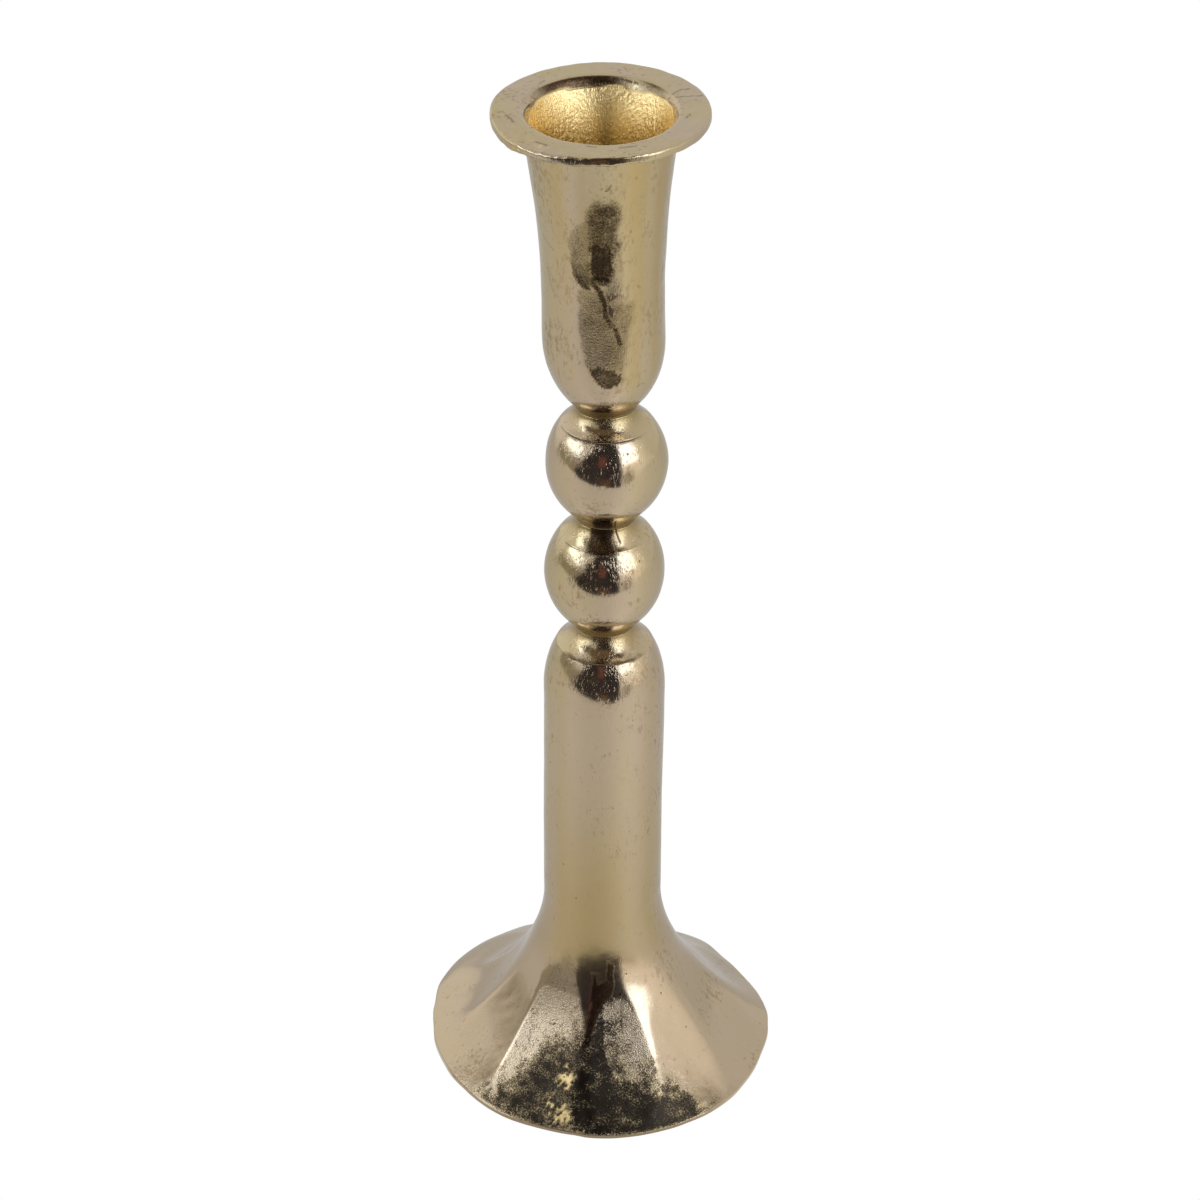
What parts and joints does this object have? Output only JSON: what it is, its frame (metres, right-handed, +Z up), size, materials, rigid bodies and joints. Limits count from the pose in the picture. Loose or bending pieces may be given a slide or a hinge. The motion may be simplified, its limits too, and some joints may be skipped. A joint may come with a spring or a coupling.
{
  "type": "taper candle holder",
  "caption": "Cast metal taper candle holder: flanged cup over round balls and a plain column that spreads into a faceted trumpet foot, held by a hidden tie rod.",
  "frame": {"origin": "middle of the foot, on the surface that the holder stands on", "axes": "+Z up along the axis of the column and the candle"},
  "size_m": [0.086, 0.086, 0.26],
  "materials": {
    "cast_brass": "satin pale champagne, hand polished over a sand casting",
    "zinc_steel": "zinc plated"
  },
  "bodies": {
    "root": {"column_foot": "cast_brass", "lower_ball": "cast_brass", "upper_ball": "cast_brass", "candle_cup": "cast_brass", "tie_rod": "zinc_steel", "flat_washer": "zinc_steel", "spring_washer": "zinc_steel", "clamp_nut": "zinc_steel"}
  },
  "joints": []
}
